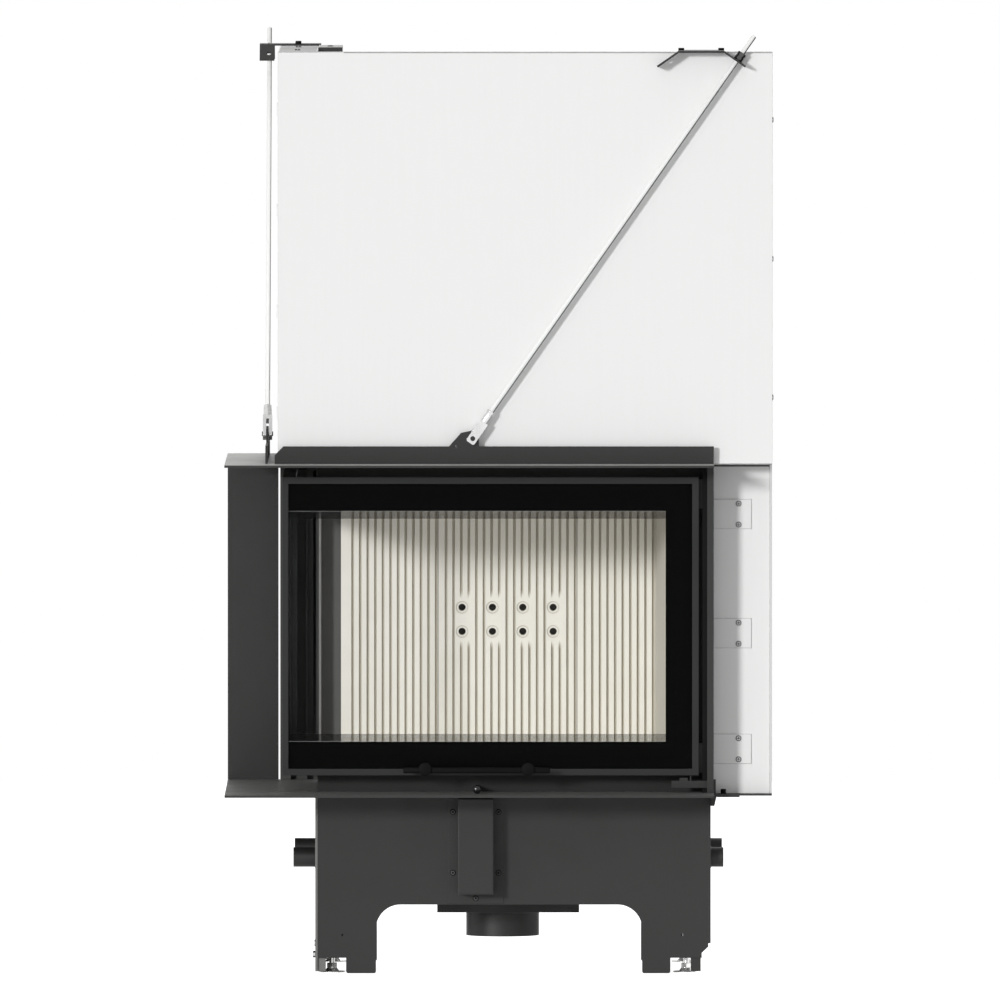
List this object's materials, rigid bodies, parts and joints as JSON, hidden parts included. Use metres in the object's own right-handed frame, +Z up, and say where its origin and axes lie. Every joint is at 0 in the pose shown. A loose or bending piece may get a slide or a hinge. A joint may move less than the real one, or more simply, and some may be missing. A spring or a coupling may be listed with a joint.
{
  "type": "fireplace insert",
  "caption": "Corner fireplace insert with an L-shaped glass door that lifts into a casing on counterweights, ceramic-lined firebox, levelling feet and an air spigot.",
  "frame": {"origin": "on the floor under the feet, in the middle of the bounding box", "axes": "+Z up, the wide glass front faces -Y, the narrow glass side faces -X"},
  "size_m": [0.935, 0.812, 1.6049],
  "materials": {
    "black_steel": "matt heat-resistant paint",
    "zinc_sheet": "satin zinc-coated sheet",
    "bright_zinc": "bright zinc plating",
    "fire_ceramic": "matt fired",
    "vermiculite": "matt board",
    "fire_glass": "polished",
    "door_paint": "matt paint",
    "weight_iron": "raw",
    "wheel_alloy": "turned",
    "seal_fibre": "woven glass fibre",
    "wire_rope": "stranded"
  },
  "bodies": {
    "insert": {"adapter_box": "black_steel", "air_spigot": "black_steel", "back_tile_centre": "fire_ceramic", "back_tile_left": "fire_ceramic", "back_tile_right": "fire_ceramic", "baffle": "vermiculite", "base_front_panel": "black_steel", "base_left_panel": "black_steel", "base_rear_panel": "black_steel", "base_right_panel": "black_steel", "carry_tubes": "black_steel", "casing_front": "zinc_sheet", "casing_left": "zinc_sheet", "column_back_panel": "zinc_sheet", "column_clips": "bright_zinc", "column_foot": "black_steel", "control_cover": "black_steel", "door_rest": "black_steel", "fasteners": "bright_zinc", "firebox_back_wall": "black_steel", "firebox_floor": "black_steel", "firebox_right_wall": "black_steel", "firebox_top": "black_steel", "firebox_upper_walls": "black_steel", "flue_collar": "black_steel", "fork_pins": "black_steel", "forks": "bright_zinc", "guide_rails": "black_steel", "hearth_slab": "fire_ceramic", "left_rear_panel": "black_steel", "lower_shelf": "black_steel", "pulley_carriers": "black_steel", "rear_cable": "wire_rope", "rear_column": "black_steel", "right_cable": "wire_rope", "right_post": "black_steel", "shaft_inner_wall": "zinc_sheet", "shaft_lid": "zinc_sheet", "shelf_upstand": "black_steel", "side_lining": "fire_ceramic", "tie_rods": "bright_zinc", "top_brackets": "black_steel", "top_shelf": "black_steel"},
    "door": {"door_frame": "door_paint", "front_glass": "fire_glass", "side_glass": "fire_glass", "glass_seals": "seal_fibre", "corner_strip": "door_paint", "handle": "door_paint", "guide_shoes": "black_steel"},
    "right_weight": {"right_counterweight": "weight_iron"},
    "rear_weight": {"rear_counterweight": "weight_iron"},
    "right_wheel": {"right_pulley": "wheel_alloy"},
    "rear_wheel": {"rear_pulley": "wheel_alloy"},
    "air_control": {"air_slide": "bright_zinc", "air_knob": "black_steel"},
    "foot_front_left": {"foot_front_left": "bright_zinc"},
    "foot_front_right": {"foot_front_right": "bright_zinc"},
    "foot_rear_left": {"foot_rear_left": "bright_zinc"},
    "foot_rear_right": {"foot_rear_right": "bright_zinc"}
  },
  "joints": [
    {"name": "door_lift", "type": "slide", "parent": "insert", "child": "door", "axis": [0, 0, 1], "range_m": [0, 0.48], "deforming": ["right_cable", "rear_cable"]},
    {"name": "right_weight_drop", "type": "slide", "parent": "insert", "child": "right_weight", "axis": [0, 0, -1], "range_m": [0, 0.48]},
    {"name": "rear_weight_drop", "type": "slide", "parent": "insert", "child": "rear_weight", "axis": [0, 0, -1], "range_m": [0, 0.48]},
    {"name": "right_wheel_turn", "type": "hinge", "parent": "insert", "child": "right_wheel", "pos_m": [0.3877, -0.284, 1.5005], "axis": [0, 1, 0], "range_deg": [0, 787]},
    {"name": "rear_wheel_turn", "type": "hinge", "parent": "insert", "child": "rear_wheel", "pos_m": [-0.3455, 0.238, 1.5005], "axis": [-1, 0, 0], "range_deg": [0, 787]},
    {"name": "air_rod_pull", "type": "slide", "parent": "insert", "child": "air_control", "axis": [0, -1, 0], "range_m": [0, 0.04]},
    {"name": "foot_front_left_screw", "type": "slide", "parent": "insert", "child": "foot_front_left", "axis": [0, 0, -1], "range_m": [0, 0.03]},
    {"name": "foot_front_right_screw", "type": "slide", "parent": "insert", "child": "foot_front_right", "axis": [0, 0, -1], "range_m": [0, 0.03]},
    {"name": "foot_rear_left_screw", "type": "slide", "parent": "insert", "child": "foot_rear_left", "axis": [0, 0, -1], "range_m": [0, 0.03]},
    {"name": "foot_rear_right_screw", "type": "slide", "parent": "insert", "child": "foot_rear_right", "axis": [0, 0, -1], "range_m": [0, 0.03]}
  ],
  "couplings": [
    {"joint": "right_weight_drop", "follows": "door_lift", "ratio": 1},
    {"joint": "rear_weight_drop", "follows": "door_lift", "ratio": 1},
    {"joint": "right_wheel_turn", "follows": "door_lift", "rad_per_m": 28.571},
    {"joint": "rear_wheel_turn", "follows": "door_lift", "rad_per_m": 28.571}
  ]
}
